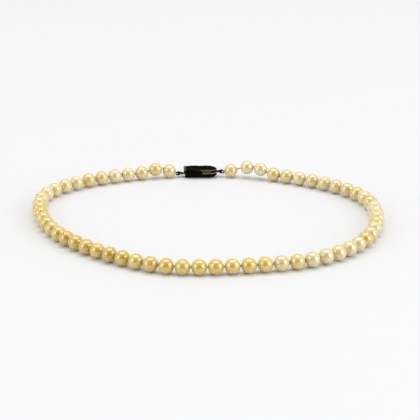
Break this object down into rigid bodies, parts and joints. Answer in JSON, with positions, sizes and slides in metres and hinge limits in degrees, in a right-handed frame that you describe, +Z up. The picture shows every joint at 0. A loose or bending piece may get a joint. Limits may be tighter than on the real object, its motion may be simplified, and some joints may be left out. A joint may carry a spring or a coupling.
{
  "type": "pearl necklace",
  "caption": "Princess-length single strand of round cream pearls on knotted silk, lying closed in a loose oval, with a tarnished filigree box clasp.",
  "frame": {"origin": "under the middle of the loop's outline, on the surface the necklace lies on", "axes": "+X across the loop, towards the right arm and the clasp's box end; +Y to the back, where the clasp is; +Z up"},
  "size_m": [0.1566, 0.1296, 0.0085],
  "materials": {
    "pearl": "nacre: lustrous cream with a soft pink overtone",
    "silk_thread": "matte twisted silk, dulled by wear",
    "gimp_wire": "fine coiled wire, tarnished",
    "clasp_shell": "pierced sheet metal, heavily tarnished, nearly black",
    "clasp_wirework": "raised wire with the tarnish rubbed off the high points",
    "clasp_fittings": "tarnished wire and sheet",
    "clasp_spring_strip": "spring strip, worn bright where it slides"
  },
  "bodies": {
    "link_front": {"pearls_front": "pearl", "thread_front": "silk_thread"},
    "link_right_01": {"pearls_right_01": "pearl", "thread_right_01": "silk_thread"},
    "link_right_02": {"pearls_right_02": "pearl", "thread_right_02": "silk_thread"},
    "link_right_03": {"pearls_right_03": "pearl", "thread_right_03": "silk_thread"},
    "link_right_04": {"pearls_right_04": "pearl", "thread_right_04": "silk_thread"},
    "link_right_05": {"pearls_right_05": "pearl", "thread_right_05": "silk_thread"},
    "link_right_06": {"pearls_right_06": "pearl", "thread_right_06": "silk_thread"},
    "link_right_07": {"pearls_right_07": "pearl", "thread_right_07": "silk_thread"},
    "link_right_08": {"pearls_right_08": "pearl", "thread_right_08": "silk_thread"},
    "link_right_09": {"pearls_right_09": "pearl", "thread_right_09": "silk_thread"},
    "link_right_10": {"pearls_right_10": "pearl", "thread_right_10": "silk_thread", "gimp_box_side": "gimp_wire"},
    "link_left_01": {"pearls_left_01": "pearl", "thread_left_01": "silk_thread"},
    "link_left_02": {"pearls_left_02": "pearl", "thread_left_02": "silk_thread"},
    "link_left_03": {"pearls_left_03": "pearl", "thread_left_03": "silk_thread"},
    "link_left_04": {"pearls_left_04": "pearl", "thread_left_04": "silk_thread"},
    "link_left_05": {"pearls_left_05": "pearl", "thread_left_05": "silk_thread"},
    "link_left_06": {"pearls_left_06": "pearl", "thread_left_06": "silk_thread"},
    "link_left_07": {"pearls_left_07": "pearl", "thread_left_07": "silk_thread"},
    "link_left_08": {"pearls_left_08": "pearl", "thread_left_08": "silk_thread"},
    "link_left_09": {"pearls_left_09": "pearl", "thread_left_09": "silk_thread"},
    "link_left_10": {"pearls_left_10": "pearl", "thread_left_10": "silk_thread", "gimp_tongue_side": "gimp_wire"},
    "clasp_box": {"clasp_top_shell": "clasp_shell", "clasp_bottom_shell": "clasp_shell", "clasp_mouth_plate": "clasp_shell", "clasp_girdle_bead": "clasp_wirework", "clasp_filigree": "clasp_wirework", "clasp_box_ring": "clasp_fittings"},
    "clasp_tongue": {"tongue_leaf": "clasp_spring_strip", "tongue_ring": "clasp_fittings"},
    "clasp_catch": {"catch_spring_leaf": "clasp_spring_strip", "catch_thumb_tab": "clasp_fittings"}
  },
  "joints": [
    {"name": "strand_right_bend_01", "type": "hinge", "parent": "link_front", "child": "link_right_01", "pos_m": [0.01394, -0.06025, 0.00325], "axis": [0, 0, -1], "range_deg": [0, 6.47]},
    {"name": "strand_right_bend_02", "type": "hinge", "parent": "link_right_01", "child": "link_right_02", "pos_m": [0.03368, -0.05655, 0.00325], "axis": [0, 0, -1], "range_deg": [0, 14.07]},
    {"name": "strand_right_bend_03", "type": "hinge", "parent": "link_right_02", "child": "link_right_03", "pos_m": [0.05178, -0.04806, 0.00325], "axis": [0, 0, -1], "range_deg": [0, 20.95]},
    {"name": "strand_right_bend_04", "type": "hinge", "parent": "link_right_03", "child": "link_right_04", "pos_m": [0.06536, -0.03338, 0.00325], "axis": [0, 0, -1], "range_deg": [0, 18.94]},
    {"name": "strand_right_bend_05", "type": "hinge", "parent": "link_right_04", "child": "link_right_05", "pos_m": [0.07305, -0.01485, 0.00325], "axis": [0, 0, -1], "range_deg": [0, 15.26]},
    {"name": "strand_right_bend_06", "type": "hinge", "parent": "link_right_05", "child": "link_right_06", "pos_m": [0.07518, 0.00511, 0.00325], "axis": [0, 0, -1], "range_deg": [0, 17.71]},
    {"name": "strand_right_bend_07", "type": "hinge", "parent": "link_right_06", "child": "link_right_07", "pos_m": [0.07067, 0.02459, 0.00325], "axis": [0, 0, -1], "range_deg": [0, 24.96]},
    {"name": "strand_right_bend_08", "type": "hinge", "parent": "link_right_07", "child": "link_right_08", "pos_m": [0.05786, 0.03994, 0.00324], "axis": [0, 0, -1], "range_deg": [0, 16.07]},
    {"name": "strand_right_bend_09", "type": "hinge", "parent": "link_right_08", "child": "link_right_09", "pos_m": [0.04102, 0.05091, 0.00347], "axis": [0, 0, -1], "range_deg": [0, 9.07]},
    {"name": "strand_right_bend_10", "type": "hinge", "parent": "link_right_09", "child": "link_right_10", "pos_m": [0.02279, 0.0589, 0.00597], "axis": [0, 0, -1], "range_deg": [0, 14.76]},
    {"name": "box_ring_swing", "type": "hinge", "parent": "link_right_10", "child": "clasp_box", "pos_m": [0.00588, 0.06144, 0.0027], "axis": [0, 0, -1], "range_deg": [0, 8.55]},
    {"name": "strand_left_bend_01", "type": "hinge", "parent": "link_front", "child": "link_left_01", "pos_m": [-0.00611, -0.06168, 0.00325], "axis": [0, 0, 1], "range_deg": [0, 17.64]},
    {"name": "strand_left_bend_02", "type": "hinge", "parent": "link_left_01", "child": "link_left_02", "pos_m": [-0.02554, -0.05703, 0.00325], "axis": [0, 0, 1], "range_deg": [0, 21]},
    {"name": "strand_left_bend_03", "type": "hinge", "parent": "link_left_02", "child": "link_left_03", "pos_m": [-0.04222, -0.04581, 0.00325], "axis": [0, 0, 1], "range_deg": [0, 9.78]},
    {"name": "strand_left_bend_04", "type": "hinge", "parent": "link_left_03", "child": "link_left_04", "pos_m": [-0.05684, -0.03204, 0.00325], "axis": [0, 0, 1], "range_deg": [0, 14.6]},
    {"name": "strand_left_bend_05", "type": "hinge", "parent": "link_left_04", "child": "link_left_05", "pos_m": [-0.06774, -0.01521, 0.00325], "axis": [0, 0, 1], "range_deg": [0, 16.62]},
    {"name": "strand_left_bend_06", "type": "hinge", "parent": "link_left_05", "child": "link_left_06", "pos_m": [-0.07373, 0.00395, 0.00325], "axis": [0, 0, 1], "range_deg": [0, 16.17]},
    {"name": "strand_open", "type": "hinge", "parent": "link_left_06", "child": "link_left_07", "pos_m": [-0.07454, 0.02394, 0.00325], "axis": [0, 0, 1], "range_deg": [0, 38.3], "deforming": ["catch_spring_leaf"]},
    {"name": "strand_left_bend_08", "type": "hinge", "parent": "link_left_07", "child": "link_left_08", "pos_m": [-0.06361, 0.04058, 0.00325], "axis": [0, 0, 1], "range_deg": [0, 25.91]},
    {"name": "strand_left_bend_09", "type": "hinge", "parent": "link_left_08", "child": "link_left_09", "pos_m": [-0.04669, 0.0513, 0.00314], "axis": [0, 0, 1], "range_deg": [0, 12.65]},
    {"name": "strand_left_bend_10", "type": "hinge", "parent": "link_left_09", "child": "link_left_10", "pos_m": [-0.02787, 0.05825, 0.00394], "axis": [0, 0, 1], "range_deg": [0, 8.71]},
    {"name": "tongue_ring_swing", "type": "hinge", "parent": "link_left_10", "child": "clasp_tongue", "pos_m": [-0.01262, 0.06144, 0.00175], "axis": [0, 0, 1], "range_deg": [0, 11.99]},
    {"name": "catch_press", "type": "hinge", "parent": "clasp_tongue", "child": "clasp_catch", "pos_m": [-0.00368, 0.06144, 0.00193], "axis": [0, -1, 0], "range_deg": [0, 3.5], "stiffness_Nm_per_rad": 0.01, "deforming": ["catch_spring_leaf"]}
  ],
  "couplings": [
    {"joint": "strand_right_bend_01", "follows": "strand_open", "ratio": 0.1685},
    {"joint": "strand_right_bend_02", "follows": "strand_open", "ratio": 0.3669},
    {"joint": "strand_right_bend_03", "follows": "strand_open", "ratio": 0.5464},
    {"joint": "strand_right_bend_04", "follows": "strand_open", "ratio": 0.494},
    {"joint": "strand_right_bend_05", "follows": "strand_open", "ratio": 0.3979},
    {"joint": "strand_right_bend_06", "follows": "strand_open", "ratio": 0.4619},
    {"joint": "strand_right_bend_07", "follows": "strand_open", "ratio": 0.6513},
    {"joint": "strand_right_bend_08", "follows": "strand_open", "ratio": 0.4191},
    {"joint": "strand_right_bend_09", "follows": "strand_open", "ratio": 0.2363},
    {"joint": "strand_right_bend_10", "follows": "strand_open", "ratio": 0.3848},
    {"joint": "box_ring_swing", "follows": "strand_open", "ratio": 0.2226},
    {"joint": "strand_left_bend_01", "follows": "strand_open", "ratio": 0.4601},
    {"joint": "strand_left_bend_02", "follows": "strand_open", "ratio": 0.5479},
    {"joint": "strand_left_bend_03", "follows": "strand_open", "ratio": 0.2549},
    {"joint": "strand_left_bend_04", "follows": "strand_open", "ratio": 0.3808},
    {"joint": "strand_left_bend_05", "follows": "strand_open", "ratio": 0.4334},
    {"joint": "strand_left_bend_06", "follows": "strand_open", "ratio": 0.4217},
    {"joint": "strand_left_bend_08", "follows": "strand_open", "ratio": 0.6759},
    {"joint": "strand_left_bend_09", "follows": "strand_open", "ratio": 0.3298},
    {"joint": "strand_left_bend_10", "follows": "strand_open", "ratio": 0.227},
    {"joint": "tongue_ring_swing", "follows": "strand_open", "ratio": 0.3126}
  ]
}
